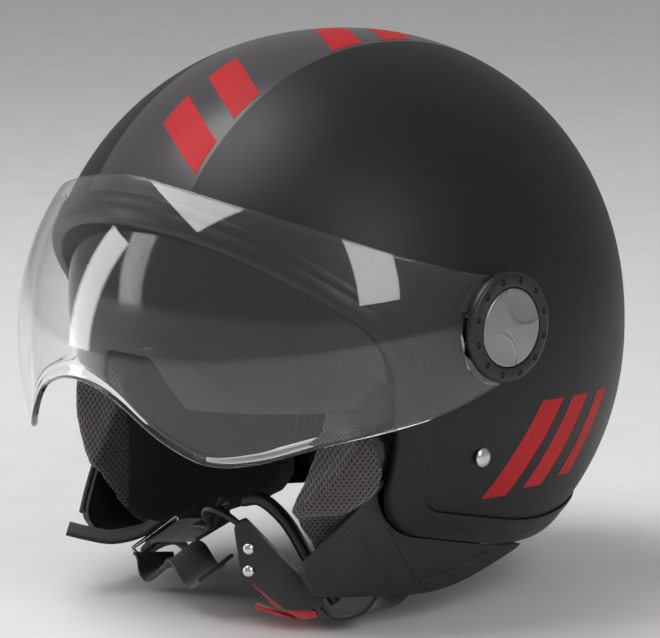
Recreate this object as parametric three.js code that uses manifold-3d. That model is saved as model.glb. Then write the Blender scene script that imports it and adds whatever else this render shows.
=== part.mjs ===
// Open face motorcycle helmet: shell, liners, cheek pads, long pivoting visor, drop-down sun visor
// and a chin strap with a ratchet buckle.
// Millimetres. The origin is the centre of the head, +Z is up, the face looks along -Y and the
// wearer's left is +X.
import * as THREE from "three";
import { mergeVertices } from "three/addons/utils/BufferGeometryUtils.js";
import Module from "manifold-3d";

const wasm = await Module();
wasm.setup();

// ---------------------------------------------------------------- driving dimensions
const SHELL = { side: 123, front: 144, rear: 137, up: 137.5, down: 132 };
const SHELL_POWER = 2.1; // a little fuller than an ellipsoid
const SHELL_WALL = 3.5;
const TRIM_OUT = 1.2; // how far the rubber edge trim stands over the shell
const TRIM_IN = 1.2; // and how far it laps the inside
const TRIM_WIDTH = 11;
const TRIM_LAP = 7; // width of its inner leg
const GAP = 0.3; // between pieces that touch
const LINER_IN = 30; // inner face of the impact liner, below the shell surface
const COMFORT = 7; // thickness of the crown liner
const PIVOT = { y: -20, z: 17 }; // the axis both visors turn on, parallel to X
const VISOR_WALL = 2.2;
const VISOR_SIDE = 128.2; // visor surface on the pivot axis
const VISOR_POWER = 1.95;
const VISOR_EAR_R = 120; // the bubble is never tighter than this about the pivot
const VISOR_BUBBLE = { y: -39.4, z: -2.2, r: 118.5 }; // arc of the visor on the helmet's middle plane
const SUN_SIDE = 113;
const SUN_R = 108.3;
const SUN_WALL = 2;
const RING_R = 24.3; // black ring over the visor's ear
const CAP_R = 17.1; // cap inside the ring
const RIVET = { y: -24.1, z: -41.6, r: 4.3 };
const STRAP_WIDTH = 21;
const STRAP_THICK = 1.8;
const PAD_IN = 68; // inner face of a cheek pad
const FAR = 260; // beyond everything

// Edge of the shell seen from the side, as [y, z, corner radius], and on round the empty side.
const OPENING = [
  [-FAR, 167, 0],
  [-66.5, 10.4, 45],
  [-61.5, -72, 28],
  [30, -93, 200],
  [200, -84.5, 0],
  [200, -FAR, 0],
  [-FAR, -FAR, 0],
];

const CHEEK = [
  [-66, 8, 14],
  [-78, -36, 30],
  [-95.5, -66, 10],
  [-92, -84, 10],
  [-80, -96, 12],
  [-22, -102, 60],
  [34, -93, 16],
  [38, -40, 30],
  [-8, 8, 20],
];

const COVER = [
  [-61, -50, 3],
  [-94, -88, 6],
  [-84, -102, 6],
  [-18, -109, 90],
  [40, -91, 5],
];

const SUN_OUTLINE = [
  [-150, 113, 0],
  [-70, 43, 20],
  [-20, 28, 0],
  [-8, 17, 0],
  [-20, 5, 0],
  [-50, -17, 20],
  [-150, -22, 0],
];

// ---------------------------------------------------------------- solids and outlines
function solid(geometry) {
  const bare = geometry.index ? geometry.toNonIndexed() : geometry.clone();
  bare.deleteAttribute("normal");
  bare.deleteAttribute("uv");
  const merged = mergeVertices(bare, 1e-4);
  return new wasm.Manifold(
    new wasm.Mesh({
      numProp: 3,
      vertProperties: merged.attributes.position.array,
      triVerts: new Uint32Array(merged.index.array),
    }),
  );
}

function geometryOf(body) {
  const mesh = body.getMesh();
  const geometry = new THREE.BufferGeometry();
  geometry.setAttribute("position", new THREE.BufferAttribute(mesh.vertProperties, 3));
  geometry.setIndex(new THREE.BufferAttribute(mesh.triVerts, 1));
  geometry.computeVertexNormals();
  return geometry;
}

// An ellipsoid-like body: offset moves its surface out along its own axes.
function dome(offset, size = SHELL, power = SHELL_POWER, across = 24, down = 16) {
  const geometry = new THREE.SphereGeometry(1, across, down);
  geometry.rotateX(Math.PI / 2);
  const at = geometry.attributes.position;
  const p = new THREE.Vector3();
  for (let i = 0; i < at.count; i++) {
    p.fromBufferAttribute(at, i);
    const a = size.side + offset;
    const b = (p.y < 0 ? size.front : size.rear) + offset;
    const c = (p.z > 0 ? size.up : size.down) + offset;
    const reach = Math.abs(p.x / a) ** power + Math.abs(p.y / b) ** power + Math.abs(p.z / c) ** power;
    p.multiplyScalar(reach ** (-1 / power));
    at.setXYZ(i, p.x, p.y, p.z);
  }
  return solid(geometry);
}

const cross = (a, b) => a.x * b.y - a.y * b.x;

// A closed outline with round corners, grown by offset. Corners run counterclockwise.
function outline(corners, offset = 0, divisions = 3) {
  let points = corners.map(([u, v]) => new THREE.Vector2(u, v));
  let radii = corners.map(([, , r]) => r);
  if (THREE.ShapeUtils.isClockWise(points)) {
    points.reverse();
    radii.reverse();
  }
  const n = points.length;
  const edge = (i) => points[(i + 1) % n].clone().sub(points[(i + n) % n]).normalize();
  const turns = points.map((p, i) => cross(edge(i - 1 + n), edge(i)));
  const moved = points.map((p, i) => {
    const before = edge(i - 1 + n);
    const after = edge(i);
    const out1 = new THREE.Vector2(before.y, -before.x);
    const out2 = new THREE.Vector2(after.y, -after.x);
    return p.clone().addScaledVector(out1.clone().add(out2), offset / (1 + out1.dot(out2)));
  });
  radii = radii.map((r, i) => (r ? Math.max(r + Math.sign(turns[i]) * offset, 0.5) : 0));
  const result = [];
  moved.forEach((p, i) => {
    if (!radii[i]) {
      result.push(p);
      return;
    }
    const before = moved[(i + n - 1) % n].clone().sub(p).normalize();
    const after = moved[(i + 1) % n].clone().sub(p).normalize();
    const half = Math.acos(THREE.MathUtils.clamp(before.dot(after), -1, 1)) / 2;
    const back = radii[i] / Math.tan(half);
    const start = p.clone().addScaledVector(before, back);
    const end = p.clone().addScaledVector(after, back);
    const middle = before.add(after).normalize();
    const centre = p.clone().addScaledVector(middle, radii[i] / Math.sin(half));
    const a0 = start.clone().sub(centre);
    const sweep = Math.atan2(cross(a0, end.clone().sub(centre)), a0.dot(end.clone().sub(centre)));
    for (let k = 0; k <= divisions; k++) {
      result.push(a0.clone().rotateAround(new THREE.Vector2(), (sweep * k) / divisions).add(centre));
    }
  });
  return result;
}

// A side-view outline in (y, z), pushed along X from x0 to x1.
const SIDE = new THREE.Matrix4().makeBasis(
  new THREE.Vector3(0, 1, 0),
  new THREE.Vector3(0, 0, 1),
  new THREE.Vector3(1, 0, 0),
);

function sidePrism(points, x0, x1) {
  const geometry = new THREE.ExtrudeGeometry(new THREE.Shape(points), {
    depth: x1 - x0,
    bevelEnabled: false,
  });
  geometry.translate(0, 0, x0);
  return solid(geometry.applyMatrix4(SIDE));
}

// A front-view outline in (x, z), pushed along Y from y0 to y1.
function frontPrism(points, y0, y1) {
  const geometry = new THREE.ExtrudeGeometry(new THREE.Shape(points), {
    depth: y1 - y0,
    bevelEnabled: false,
  });
  geometry.rotateX(Math.PI / 2);
  geometry.translate(0, y1, 0);
  return solid(geometry);
}

const SPIN = new THREE.Matrix4().makeBasis(
  new THREE.Vector3(0, 0, 1),
  new THREE.Vector3(1, 0, 0),
  new THREE.Vector3(0, 1, 0),
);

// A body turned about an axis parallel to X through (y, z); its profile is pairs of [radius, x].
function turned(profile, y, z, segments = 16) {
  const points = profile.map(([r, x]) => new THREE.Vector2(r, x));
  if (profile[0][0] > 0) points.push(points[0].clone());
  const geometry = new THREE.LatheGeometry(points, segments);
  geometry.applyMatrix4(SPIN);
  geometry.translate(0, y, z);
  return solid(geometry);
}

const disc = (r, x0, x1, y = PIVOT.y, z = PIVOT.z, segments = 16) =>
  turned([[0, x0], [r, x0], [r, x1], [0, x1]], y, z, segments);

const mirrored = (body) => body.mirror([1, 0, 0]);

// ---------------------------------------------------------------- the group and its materials
const helmet = new THREE.Group();
helmet.name = "open_face_helmet";

const FINISH = {
  shell: { color: 0x1b1a1c, roughness: 0.55, metalness: 0 },
  rubber: { color: 0x151415, roughness: 0.6, metalness: 0 },
  foam: { color: 0x2a2a2c, roughness: 0.9, metalness: 0 },
  mesh: { color: 0x5a5250, roughness: 0.95, metalness: 0 },
  leather: { color: 0x1d1c1e, roughness: 0.55, metalness: 0 },
  clear: { color: 0xe8ecf0, roughness: 0.03, metalness: 0, transparent: true, opacity: 0.3 },
  smoke: { color: 0x3a3c40, roughness: 0.08, metalness: 0.2, transparent: true, opacity: 0.7 },
  satin: { color: 0x232224, roughness: 0.4, metalness: 0 },
  gunmetal: { color: 0x5c5b60, roughness: 0.3, metalness: 0.8 },
  steel: { color: 0xb9b9bc, roughness: 0.25, metalness: 1 },
  webbing: { color: 0x1b1b1d, roughness: 0.85, metalness: 0 },
  plastic: { color: 0x242426, roughness: 0.45, metalness: 0 },
  red: { color: 0xc02a2e, roughness: 0.3, metalness: 0 },
};

function add(name, body, finish, parent = helmet) {
  const material = new THREE.MeshStandardMaterial(FINISH[finish]);
  const mesh = new THREE.Mesh(body.isBufferGeometry ? body : geometryOf(body), material);
  mesh.name = name;
  parent.add(mesh);
  return mesh;
}

function addPair(name, body, finish) {
  add(`${name}_left`, body, finish);
  add(`${name}_right`, mirrored(body), finish);
}

// ---------------------------------------------------------------- shell, trim and liners
const across = (corners, offset = 0) => sidePrism(outline(corners, offset), -FAR, FAR);
const screwHole = disc(4, 90, 140);
const rivetHole = disc(2.6, 90, 140, RIVET.y, RIVET.z, 16);

const shell = dome(0)
  .subtract(dome(-SHELL_WALL))
  .subtract(across(OPENING))
  .subtract(screwHole)
  .subtract(mirrored(screwHole))
  .subtract(rivetHole)
  .subtract(mirrored(rivetHole));
add("outer_shell", shell, "shell");

const groove = dome(GAP).subtract(dome(-SHELL_WALL - GAP)).subtract(across(OPENING, -GAP));
const trim = dome(TRIM_OUT)
  .subtract(dome(-SHELL_WALL - TRIM_IN))
  .intersect(across(OPENING, TRIM_WIDTH))
  .subtract(across(OPENING, -1.5))
  .subtract(groove)
  .subtract(dome(-SHELL_WALL).subtract(across(OPENING, TRIM_LAP)));
add("shell_edge_trim", trim, "rubber");

// Room for the sun visor between shell and impact liner: a pocket swept about the pivot.
function spun(side, radius, power = 2, across = 28, down = 18) {
  const size = { side, front: radius, rear: radius, up: radius, down: radius };
  return dome(0, size, power, across, down).translate([0, PIVOT.y, PIVOT.z]);
}

const pocketSweep = [
  [-200, 108, 0],
  [-70, -40, 8],
  [-4, -14, 14],
  [4, 40, 14],
  [10, 160, 0],
];
const sunPocket = across(pocketSweep).subtract(spun(SUN_SIDE - 5, SUN_R - 3.7));
const hubRoom = disc(10, 100, 130);
const cheekRoom = across(CHEEK, 1.5);
const neckBox = (grow) =>
  sidePrism(
    outline([[48 - grow, -84, 0], [48 - grow, -50 + grow, 0], [150, -50 + grow, 0], [150, -84, 0]]),
    -72 - grow,
    72 + grow,
  );

const foam = (offset) => dome(offset, SHELL, SHELL_POWER, 18, 12);
const liner = foam(-SHELL_WALL - 2.2)
  .subtract(foam(-LINER_IN))
  .subtract(across(OPENING, 8))
  .subtract(sunPocket)
  .subtract(hubRoom)
  .subtract(mirrored(hubRoom))
  .subtract(cheekRoom)
  .subtract(sidePrism(outline([[-FAR, -44, 0], [48, -44, 0], [48, -FAR, 0], [-FAR, -FAR, 0]]), -FAR, FAR))
  .subtract(neckBox(0.6));
add("impact_liner", liner, "foam");

const crownEdge = [
  [-FAR, 190, 0],
  [-62, 22, 20],
  [20, 13, 30],
  [50, -42, 12],
  [FAR, -42, 0],
  [FAR, FAR, 0],
  [-FAR, FAR, 0],
];
const crown = foam(-LINER_IN - 0.6)
  .subtract(foam(-LINER_IN - 0.6 - COMFORT))
  .intersect(across(crownEdge));
add("crown_liner", crown, "mesh");

const neck = dome(-SHELL_WALL - TRIM_IN - 0.8).subtract(foam(-LINER_IN)).intersect(neckBox(0));
add("neck_roll", neck, "leather");

// ---------------------------------------------------------------- visor and its pivots
// The visor is a bubble: its radius about the pivot follows the arc on the middle plane.
function bubble(inset) {
  const geometry = new THREE.SphereGeometry(1, 26, 18);
  geometry.rotateZ(Math.PI / 2);
  const at = geometry.attributes.position;
  const p = new THREE.Vector3();
  const v = new THREE.Vector2(PIVOT.y - VISOR_BUBBLE.y, PIVOT.z - VISOR_BUBBLE.z);
  for (let i = 0; i < at.count; i++) {
    p.fromBufferAttribute(at, i);
    const ring = Math.hypot(p.y, p.z);
    const d = ring > 1e-6 ? new THREE.Vector2(p.y / ring, p.z / ring) : new THREE.Vector2(-1, 0);
    const along = v.dot(d);
    const arc = -along + Math.sqrt(along ** 2 - v.lengthSq() + VISOR_BUBBLE.r ** 2);
    const r = Math.max(arc, VISOR_EAR_R) - inset;
    const x = VISOR_SIDE - inset;
    const reach = (Math.abs(p.x) / x) ** VISOR_POWER + (ring / r) ** VISOR_POWER;
    p.multiplyScalar(reach ** (-1 / VISOR_POWER));
    at.setXYZ(i, p.x, p.y + PIVOT.y, p.z + PIVOT.z);
  }
  return solid(geometry);
}

// Side view of the visor: the ear round the pivot, the long top edge, the nose and the lower lip.
function visorOutline() {
  const ear = new THREE.Path();
  ear.absarc(PIVOT.y, PIVOT.z, RING_R - 1, THREE.MathUtils.degToRad(-78), THREE.MathUtils.degToRad(100));
  const top = new THREE.SplineCurve(
    [[-38, 41.5], [-67, 50.4], [-96, 62.7], [-113, 71], [-123, 78], [-128, 86]].map(
      ([y, z]) => new THREE.Vector2(y, z),
    ),
  );
  const bottom = new THREE.SplineCurve(
    [[-160, 0], [-156, -9], [-150, -21.5], [-143, -31], [-133, -38], [-120, -36.5], [-97, -28],
      [-57, -19.6], [-32, -12]].map(([y, z]) => new THREE.Vector2(y, z)),
  );
  return [
    ...ear.getPoints(9),
    ...top.getPoints(8),
    new THREE.Vector2(-175, 86),
    new THREE.Vector2(-175, -1),
    ...bottom.getPoints(14),
  ];
}

const pivotHole = disc(8.6, 100, 140);
const visor = bubble(0)
  .subtract(bubble(VISOR_WALL))
  .intersect(sidePrism(visorOutline(), -FAR, FAR))
  .subtract(pivotHole)
  .subtract(mirrored(pivotHole));
add("outer_visor", visor, "clear");

// Base plate on the shell, with the hub that the visor turns on.
const basePlate = disc(21, 108, 122.8)
  .subtract(dome(0.4))
  .add(disc(8.2, 121.9, 127.4))
  .subtract(disc(2.8, 100, 140))
  .subtract(disc(5, 124.6, 140));
addPair("visor_base_plate", basePlate, "plastic");

const washerRing = turned([[8.6, 123.3], [13, 123.3], [13, 124.1], [8.6, 124.1]], PIVOT.y, PIVOT.z);
addPair("visor_friction_washer", washerRing, "steel");

const ring = turned(
  [
    [CAP_R + 0.3, 128],
    [RING_R - 2, 128],
    [RING_R - 1.7, 126.6],
    [RING_R, 126.6],
    [RING_R, 128.8],
    [RING_R - 1.2, 130.4],
    [CAP_R + 0.9, 130.4],
    [CAP_R + 0.3, 129.8],
  ],
  PIVOT.y,
  PIVOT.z,
  24,
);
addPair("pivot_ring", ring, "satin");

const cap = turned([[0, 128.2], [CAP_R, 128.2], [CAP_R, 130.1], [CAP_R - 0.8, 130.9], [0, 130.9]],
  PIVOT.y, PIVOT.z, 24);
addPair("pivot_cap", cap, "gunmetal");

const screw = turned([[0, 109.5], [2.5, 109.5], [2.5, 125], [4.6, 125], [4.6, 127], [0, 127]],
  PIVOT.y, PIVOT.z, 12);
addPair("pivot_screw", screw, "steel");

// Threaded insert: barrel in the shell, flange behind it, boss for the sun visor's arm.
const insert = turned(
  [[2.8, 107.6], [4, 107.6], [4, 113.8], [7, 113.8], [7, 115.2], [3.6, 115.2], [3.6, 119.6], [2.8, 119.6]],
  PIVOT.y,
  PIVOT.z,
  12,
);
addPair("pivot_insert", insert, "steel");

// ---------------------------------------------------------------- sun visor
const nose = [
  [-40, -40, 0],
  [-15, 2, 8],
  [15, 2, 8],
  [40, -40, 0],
];
const arm = disc(11, 100, 120);
const armHole = disc(4.4, 100, 120);
const lensShell = spun(SUN_SIDE, SUN_R).subtract(spun(SUN_SIDE - SUN_WALL, SUN_R - SUN_WALL));
const sunVisor = lensShell
  .intersect(across(SUN_OUTLINE).add(arm).add(mirrored(arm)))
  .subtract(frontPrism(outline(nose), -FAR, -60))
  .subtract(armHole)
  .subtract(mirrored(armHole));
add("sun_visor", sunVisor, "smoke");

const clip = turned([[4.3, 108.2], [7.5, 108.2], [7.5, 109.6], [4.3, 109.6]], PIVOT.y, PIVOT.z, 14);
addPair("sun_visor_clip", clip, "steel");

// ---------------------------------------------------------------- chin strap
// A flat band along a smooth path; sides gives the direction of its width at each point.
function ribbon(path, sides, width, thick, steps) {
  const curve = new THREE.CatmullRomCurve3(path.map((p) => new THREE.Vector3(...p)));
  const widths = new THREE.CatmullRomCurve3(sides.map((p) => new THREE.Vector3(...p)));
  const geometry = new THREE.BoxGeometry(1, 1, 1, steps, 1, 1);
  const at = geometry.attributes.position;
  for (let i = 0; i < at.count; i++) {
    const t = THREE.MathUtils.clamp(at.getX(i) + 0.5, 0, 1);
    const along = curve.getTangent(t);
    const side = widths.getPoint(t);
    side.addScaledVector(along, -side.dot(along)).normalize();
    const out = along.clone().cross(side);
    const p = curve.getPoint(t);
    p.addScaledVector(side, at.getY(i) * width).addScaledVector(out, at.getZ(i) * thick);
    at.setXYZ(i, p.x, p.y, p.z);
  }
  return solid(geometry);
}

// Rivet: domed head outside, shank through shell, strap and washer, upset tail inside.
const rivet = turned(
  [
    [0, 104.5],
    [3.6, 104.5],
    [3.6, 105.5],
    [2.3, 105.5],
    [2.3, 117.4],
    [RIVET.r, 117.4],
    [RIVET.r - 0.8, 118.7],
    [0, 119.3],
  ],
  RIVET.y,
  RIVET.z,
  12,
);
addPair("strap_rivet", rivet, "steel");

const rivetWasher = turned([[2.6, 105.8], [5, 105.8], [5, 106.6], [2.6, 106.6]], RIVET.y, RIVET.z, 12);
addPair("strap_rivet_washer", rivetWasher, "steel");

// ---------------------------------------------------------------- ratchet buckle
// Its own frame: X from the mouth to the strap end, Y across it, Z away from the chin.
const BUCKLE_AT = new THREE.Vector3(45.2, -80.3, -95.5);
const ALONG = new THREE.Vector3(0.567, 0.436, -0.7).normalize();
const ACROSS = new THREE.Vector3(0.7213, -0.6727, 0.165).normalize();
const OUTWARD = ALONG.clone().cross(ACROSS).normalize();
const BUCKLE_FRAME = new THREE.Matrix4().makeBasis(ALONG, ACROSS, OUTWARD).setPosition(BUCKLE_AT);
const buckle = new THREE.Group();
buckle.name = "ratchet_buckle";
buckle.applyMatrix4(BUCKLE_FRAME);
helmet.add(buckle);

const CHEEK_PLATE = { in: 11.5, out: 13 }; // the two side plates, measured from the middle
const PAWL_PIN = { x: -15.8, z: 1.4 };
const LEVER_PIN = { x: -8.9, z: 8.3 };
const PIN_R = 1.5;

// A plate in the buckle's side view (x, z), between y0 and y1.
function sidePlate(points, y0, y1) {
  const geometry = new THREE.ExtrudeGeometry(new THREE.Shape(points), {
    depth: y1 - y0,
    bevelEnabled: false,
  });
  geometry.rotateX(Math.PI / 2);
  geometry.translate(0, y1, 0);
  return solid(geometry);
}

// A stepped pin across the buckle; profile is pairs of [radius, y].
function crossPin(profile, { x, z }, segments = 10) {
  const points = profile.map(([r, y]) => new THREE.Vector2(r, y));
  const geometry = new THREE.LatheGeometry(points, segments);
  geometry.translate(x, 0, z);
  return solid(geometry);
}

const pinHole = (at) => crossPin([[0, -20], [PIN_R + 0.2, -20], [PIN_R + 0.2, 20], [0, 20]], at);
const rivetPin = (at) =>
  crossPin(
    [
      [0, -14.6],
      [2.2, -14.2],
      [2.8, -13.3],
      [PIN_R, -13.3],
      [PIN_R, 13.3],
      [2.8, 13.3],
      [2.2, 14.2],
      [0, 14.6],
    ],
    at,
  );

const plateShape = outline([
  [-26, -6, 2],
  [24, -6, 2],
  [25, -2, 2],
  [15, 9, 5],
  [-10, 12, 4],
  [-28, -1, 3],
]);
const buckleBody = sidePlate(plateShape, CHEEK_PLATE.in, CHEEK_PLATE.out)
  .add(sidePlate(plateShape, -CHEEK_PLATE.out, -CHEEK_PLATE.in))
  .add(sidePlate(outline([[-26, -6, 0], [23, -6, 0], [23, -4.5, 0], [-26, -4.5, 0]]), -12, 12))
  .subtract(pinHole(PAWL_PIN))
  .subtract(pinHole(LEVER_PIN));
add("buckle_body", buckleBody, "plastic", buckle);
add("buckle_lever_pin", rivetPin(LEVER_PIN), "steel", buckle);
add("buckle_pawl_pin", rivetPin(PAWL_PIN), "steel", buckle);

const leverShape = outline([
  [-12, 5, 2],
  [-6, 5, 2],
  [-5, 8.6, 0],
  [10, 8.2, 2],
  [19, 3, 1],
  [24.5, 0.3, 0],
  [27, 1.2, 0],
  [23, 7, 2],
  [10, 11.4, 4],
  [-12, 12, 3],
]);
const lever = sidePlate(leverShape, -10.8, 10.8).subtract(pinHole(LEVER_PIN));
add("buckle_lever", lever, "red", buckle);

const tab = sidePlate(outline([[4, 17, 0.6], [4.8, 18.8, 0.6], [20.6, 10.4, 0], [20, 9, 0]]), -7, 7);
add("lever_pull_tab", tab, "red", buckle);

const pawlShape = outline([
  [-18.6, -0.6, 1],
  [-12, -0.6, 1],
  [-4, 1.2, 1],
  [0, -0.9, 0],
  [3, -0.9, 0],
  [3.4, 3.4, 0.8],
  [-10.5, 2.9, 0],
  [-12.4, 3.9, 0],
  [-18.6, 3.9, 1],
]);
const pawl = sidePlate(pawlShape, -6.5, 6.5).subtract(pinHole(PAWL_PIN));
add("buckle_pawl", pawl, "steel", buckle);

const inBuckle = (x, y, z) => new THREE.Vector3(x, y, z).applyMatrix4(BUCKLE_FRAME).toArray();
const across3 = ACROSS.toArray();

// Toothed tongue: from its sewn end on the right strap into the buckle.
const tongue = ribbon(
  [[-6, -79, -81.6], [10, -84.6, -78], inBuckle(-38, -3, 0.5), inBuckle(-26, 0, -2.3), inBuckle(-6, 0, -2.5),
    inBuckle(14, 0, -2.5)],
  [[0.3, -0.93, -0.22], [0.4, -0.88, -0.1], [0.6, -0.78, 0.1], across3, across3, across3],
  14,
  2.1,
  14,
);
add("ratchet_tongue", tongue, "plastic");

// ---------------------------------------------------------------- webbing, slider and chin pad
const strapHole = disc(2.7, 90, 140, RIVET.y, RIVET.z, 12);
// Half width of a dome at (y, z), and the direction across it there.
function wallX(y, z, offset, size = SHELL) {
  const long = (y < 0 ? size.front : size.rear) + offset;
  const share = 1 - (Math.abs(y) / long) ** SHELL_POWER - (Math.abs(z) / (size.down + offset)) ** SHELL_POWER;
  return (size.side + offset) * share ** (1 / SHELL_POWER);
}
const wallSide = (y, z) => [(wallX(y - 5, z, -6) - wallX(y + 5, z, -6)) / 10, -1, 0];

const behindShell = [
  [-24, -33],
  [-24, -42],
  [-24.5, -51],
  [-26, -61],
  [-28, -70],
  [-30, -80],
];
const strapTop = behindShell.map(([y, z], i) => [wallX(y, z, [-6.6, -6.6, -6.8, -7.6, -8.8, -10.3][i]), y, z]);
const downSides = behindShell.map(([y, z]) => wallSide(y, z));
strapTop.push([81, -31.5, -90], [76.6, -35, -99.5]);
downSides.push([-0.15, -1, 0], [-0.2, -1, 0]);
const mirrorX = ([x, y, z]) => [-x, y, z];

const leftPath = [...strapTop, [74.6, -42, -108.5], [70, -53, -115], inBuckle(33, 0, -3.6),
  inBuckle(26, 0, -2.6), inBuckle(17, 0, -2.5)];
const leftSides = [...downSides, [0.1, -0.98, 0.1], [0.6, -0.78, 0.15], across3, across3, across3];
const leftStrap = ribbon(leftPath, leftSides, STRAP_WIDTH, STRAP_THICK, 30).subtract(strapHole);
add("strap_left", leftStrap, "webbing");

const rightSide = [0.3, -0.93, -0.22];
const rightPath = [...strapTop.map(mirrorX), [-74, -43, -108], [-66, -54, -107.5], [-57, -63, -100.5],
  [-42, -69, -94], [-20, -75.5, -89], [8, -84.8, -82.4]];
const rightSides = [...downSides.map(mirrorX), [0, -1, -0.1], [0.1, -0.97, -0.15], [0.2, -0.95, -0.2],
  rightSide, rightSide, rightSide];
const rightStrap = ribbon(rightPath, rightSides, STRAP_WIDTH, STRAP_THICK, 32).subtract(mirrored(strapHole));
add("strap_right", rightStrap, "webbing");

const slack = ribbon(
  [[-55, -68, -107], [-45, -71.5, -112.5], [-30, -75.5, -103.5], [-17, -80, -99], [3, -87, -104], [19, -93.5, -97]],
  [rightSide, rightSide, rightSide, rightSide, rightSide, rightSide],
  STRAP_WIDTH,
  STRAP_THICK,
  20,
);
add("strap_slack", slack, "webbing");

// Free end of the webbing, above the right strap.
const tailSide = [0.73, -0.68, -0.1];
const tail = ribbon(
  [[-52.5, -69, -91.8], [-55.5, -78, -95.4], [-59, -90, -96.5], [-65, -99.5, -94.2], [-71, -106, -92]],
  [rightSide, tailSide, tailSide, tailSide],
  17,
  STRAP_THICK,
  12,
);
add("strap_tail", tail, "webbing");

// Wire slider round the right strap; its frame has X along the strap and Z towards the chin.
const slideAlong = new THREE.Vector3(0.764, -0.478, 0.43).normalize();
const slideAcross = new THREE.Vector3(-0.2, 0.95, 0.2);
slideAcross.addScaledVector(slideAlong, -slideAcross.dot(slideAlong)).normalize();
const slideUp = slideAlong.clone().cross(slideAcross);
const slider = sidePrism(outline([[-13.6, -3, 2.5], [13.6, -3, 2.5], [13.6, 3.6, 2.5], [-13.6, 3.6, 2.5]]), -1, 1)
  .subtract(sidePrism(outline([[-11.8, -1.9, 0], [11.8, -1.9, 0], [11.8, 2, 0], [-11.8, 2, 0]]), -3, 3));
const sliderFrame = new THREE.Group();
sliderFrame.name = "slider_place";
sliderFrame.applyMatrix4(
  new THREE.Matrix4().makeBasis(slideAlong, slideAcross, slideUp).setPosition(-57, -63.2, -100.4),
);
helmet.add(sliderFrame);
add("strap_slider", slider, "steel", sliderFrame);

const chinPad = ribbon(
  [inBuckle(-33, -2, -11), inBuckle(-27, -2, -17), inBuckle(-13, -2, -18), inBuckle(4, -2, -14),
    inBuckle(18, -4, -10.5), inBuckle(27, -5, -9)],
  [across3, across3],
  28,
  6,
  14,
);
add("chin_pad", chinPad, "leather");

// ---------------------------------------------------------------- cheek pads and covers
// The straps pass between each pad and its cover.
const strapRoom = ribbon(leftPath, leftSides, STRAP_WIDTH + 2, STRAP_THICK + 1.2, 30).add(
  mirrored(ribbon(rightPath, rightSides, STRAP_WIDTH + 2, STRAP_THICK + 1.2, 32)),
);
const largest = (body) => body.decompose().reduce((a, b) => (a.volume() > b.volume() ? a : b));
const SKIRT = { side: 103, front: 176, rear: 140, up: 190, down: 190 };
const keepOut = dome(TRIM_OUT + 0.5)
  .subtract(dome(-9.5))
  .subtract(across(OPENING, -2.3));
// In front of the shell edge the pad swells out to the shell line, clear of the sun visor.
const PAD_FRONT = outline([[-120, -10, 0], [-54, -10, 0], [-54, -50, 0], [-72, -70, 0], [-120, -70, 0]]);
const sunSweep = outline([[-140, -27, 0], [-40, -27, 0], [-10, 0, 0], [-10, 60, 0], [-140, 60, 0]]);
const sunRoom = spun(SUN_SIDE + 1.2, SUN_R + 1.2)
  .subtract(spun(SUN_SIDE - 5, SUN_R - 4))
  .intersect(sidePrism(sunSweep, PAD_IN - 4, 130));
const padFront = dome(-9).intersect(sidePrism(PAD_FRONT, PAD_IN - 4, 130));
const pad = sidePrism(outline(CHEEK), PAD_IN, 120)
  .intersect(dome(-13.2, SKIRT).add(padFront))
  .subtract(keepOut)
  .subtract(neckBox(0.6))
  .subtract(sunRoom)
  .subtract(strapRoom);
addPair("cheek_pad", largest(pad), "mesh");

const cover = sidePrism(outline(COVER), PAD_IN, 120)
  .intersect(dome(0, SKIRT))
  .subtract(dome(-4, SKIRT))
  .subtract(dome(-8.6).intersect(sidePrism(PAD_FRONT, PAD_IN - 4, 130)))
  .subtract(dome(TRIM_OUT + 0.6).subtract(across(OPENING, -2.3)))
  .subtract(strapRoom);
addPair("lower_cover", largest(cover), "leather");

export default helmet;
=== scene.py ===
"""Looks of the open face motorcycle helmet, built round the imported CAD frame."""

import math

import bmesh
import bpy
import numpy as np
from mathutils import Matrix, Vector


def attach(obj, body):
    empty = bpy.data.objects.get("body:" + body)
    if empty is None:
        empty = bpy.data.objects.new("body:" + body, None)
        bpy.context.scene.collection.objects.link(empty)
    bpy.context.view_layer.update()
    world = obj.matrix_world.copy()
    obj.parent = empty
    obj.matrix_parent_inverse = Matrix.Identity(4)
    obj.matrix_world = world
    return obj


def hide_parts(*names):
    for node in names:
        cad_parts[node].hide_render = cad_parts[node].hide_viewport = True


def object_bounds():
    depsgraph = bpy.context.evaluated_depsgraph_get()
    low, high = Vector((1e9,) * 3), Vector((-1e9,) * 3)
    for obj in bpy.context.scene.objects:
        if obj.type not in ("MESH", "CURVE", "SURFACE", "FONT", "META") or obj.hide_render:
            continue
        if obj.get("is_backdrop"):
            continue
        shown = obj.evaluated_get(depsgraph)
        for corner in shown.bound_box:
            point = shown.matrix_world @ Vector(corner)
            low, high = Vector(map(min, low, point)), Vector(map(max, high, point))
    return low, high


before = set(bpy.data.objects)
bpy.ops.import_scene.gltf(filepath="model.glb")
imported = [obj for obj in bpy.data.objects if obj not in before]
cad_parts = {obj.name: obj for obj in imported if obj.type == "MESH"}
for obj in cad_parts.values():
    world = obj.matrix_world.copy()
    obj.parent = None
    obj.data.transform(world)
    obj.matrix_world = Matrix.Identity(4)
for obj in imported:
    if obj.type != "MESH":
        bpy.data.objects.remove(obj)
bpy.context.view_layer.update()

MM = 0.001
FAR = 260.0
SHELL = dict(side=123.0, front=144.0, rear=137.0, up=137.5, down=132.0)
SKIRT = dict(side=103.0, front=176.0, rear=140.0, up=190.0, down=190.0)
POWER = 2.1
WALL = 3.5
LINER_IN = 30.0
COMFORT = 7.0
PIVOT = np.array([-20.0, 17.0])
VISOR_SIDE = 128.2
VISOR_POWER = 1.95
VISOR_EAR_R = 120.0
VISOR_EAR_START = 22.0
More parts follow.
